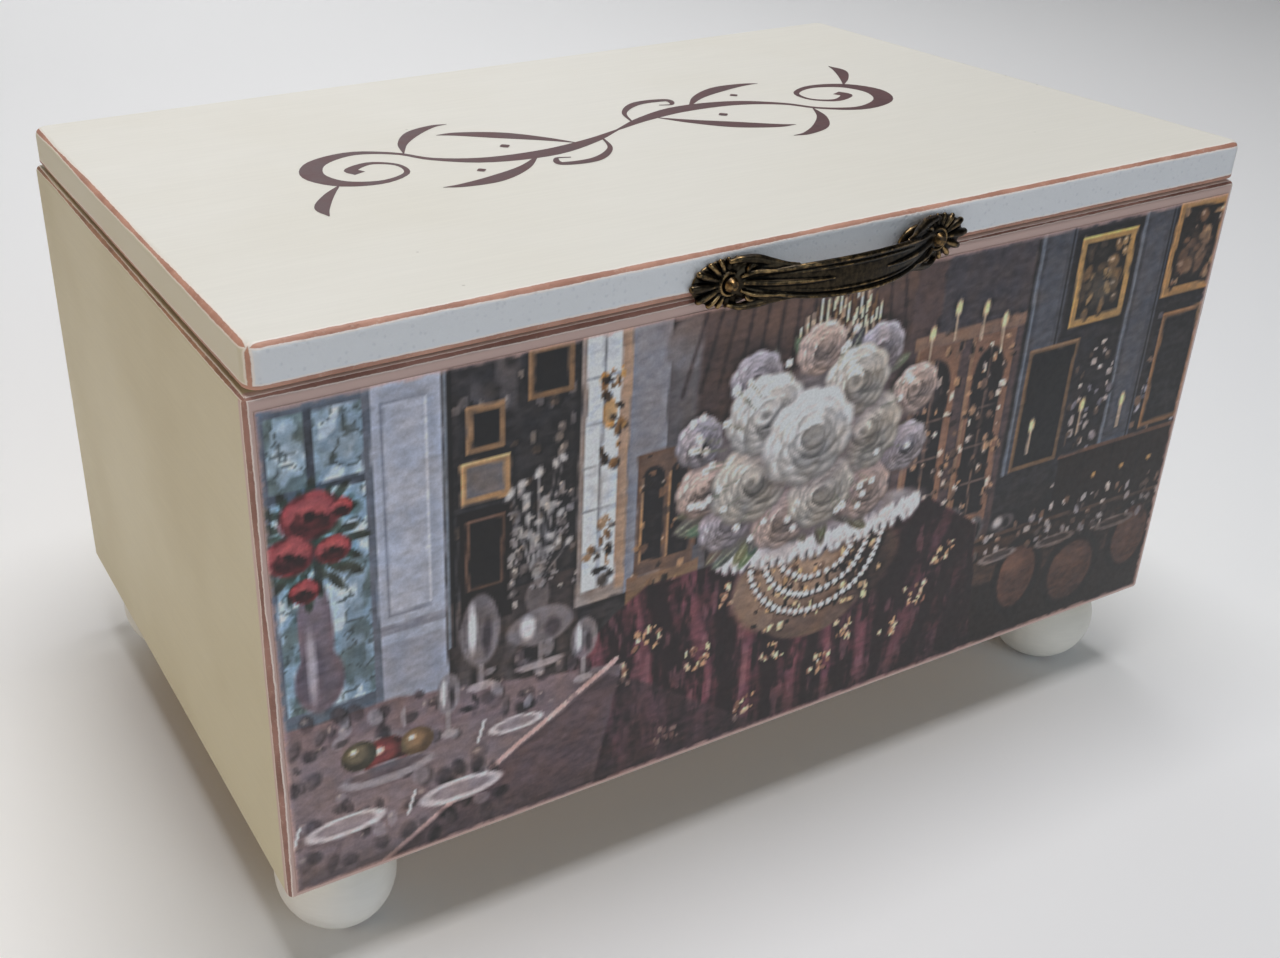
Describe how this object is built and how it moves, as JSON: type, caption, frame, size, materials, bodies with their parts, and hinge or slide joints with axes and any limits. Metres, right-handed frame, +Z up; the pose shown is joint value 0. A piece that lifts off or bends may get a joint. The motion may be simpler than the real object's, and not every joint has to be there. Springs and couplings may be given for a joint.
{
  "type": "jewellery box",
  "caption": "Painted wooden box with a hinged lid, front pull, pasted front picture and ball feet; inside, sliding tills run on ledges above a felt-lined space.",
  "frame": {"origin": "on the floor under the middle of the object's box, pull and hinge heels included", "axes": "+Z up, +X to the object's right as seen from its front, the front with the picture faces -Y"},
  "size_m": [0.3, 0.2046, 0.1808],
  "materials": {
    "cream_paint": "satin chalk paint, sanded through at the arrises",
    "varnished_picture": "printed sheet under satin varnish",
    "wine_felt": "glued wool felt",
    "rose_velvet": "cut pile velvet over foam",
    "antique_bronze": "cast, darkened and rubbed back on the high spots",
    "mirror_glass": "silvered, bevelled edge",
    "brass": "drawn brass, lacquered",
    "bare_wood": "sanded, unpainted",
    "waxed_wood": "stained and waxed"
  },
  "bodies": {
    "case": {"front_panel": "cream_paint", "back_panel": "cream_paint", "left_panel": "cream_paint", "right_panel": "cream_paint", "bottom_board": "bare_wood", "front_picture": "varnished_picture", "floor_pad": "wine_felt", "foot_front_left": "cream_paint", "foot_front_right": "cream_paint", "foot_back_left": "cream_paint", "foot_back_right": "cream_paint", "foot_dowels": "bare_wood", "upper_runner_front": "waxed_wood", "upper_runner_back": "waxed_wood", "lower_runner_front": "waxed_wood", "lower_runner_back": "waxed_wood", "left_hinge_case_leaf": "brass", "right_hinge_case_leaf": "brass", "left_hinge_pin": "brass", "right_hinge_pin": "brass", "case_hinge_screws": "brass"},
    "lid": {"lid_board": "cream_paint", "left_hinge_lid_leaf": "brass", "right_hinge_lid_leaf": "brass", "lid_hinge_screws": "brass", "lid_handle": "antique_bronze", "handle_pins": "antique_bronze", "lid_mirror": "mirror_glass", "lid_bumpers": "wine_felt"},
    "upper_till": {"upper_till_front_wall": "waxed_wood", "upper_till_back_wall": "waxed_wood", "upper_till_left_wall": "waxed_wood", "upper_till_right_wall": "waxed_wood", "upper_till_bottom": "waxed_wood", "upper_till_long_divider": "waxed_wood", "upper_till_cross_divider": "waxed_wood", "upper_till_knob": "brass", "upper_till_front_pad": "wine_felt", "upper_till_back_pads": "wine_felt", "upper_till_ring_rolls": "rose_velvet"},
    "lower_till": {"lower_till_front_wall": "waxed_wood", "lower_till_back_wall": "waxed_wood", "lower_till_left_wall": "waxed_wood", "lower_till_right_wall": "waxed_wood", "lower_till_bottom": "waxed_wood", "lower_till_long_divider": "waxed_wood", "lower_till_cross_divider": "waxed_wood", "lower_till_knob": "brass", "lower_till_front_pad": "wine_felt", "lower_till_back_pads": "wine_felt"}
  },
  "joints": [
    {"name": "lid_hinge", "type": "hinge", "parent": "case", "child": "lid", "pos_m": [0, 0.09883, 0.1696], "axis": [-1, 0, 0], "range_deg": [0, 105]},
    {"name": "upper_till_slide", "type": "slide", "parent": "case", "child": "upper_till", "axis": [1, 0, 0], "range_m": [0, 0.134]},
    {"name": "lower_till_slide", "type": "slide", "parent": "case", "child": "lower_till", "axis": [-1, 0, 0], "range_m": [0, 0.134]}
  ]
}
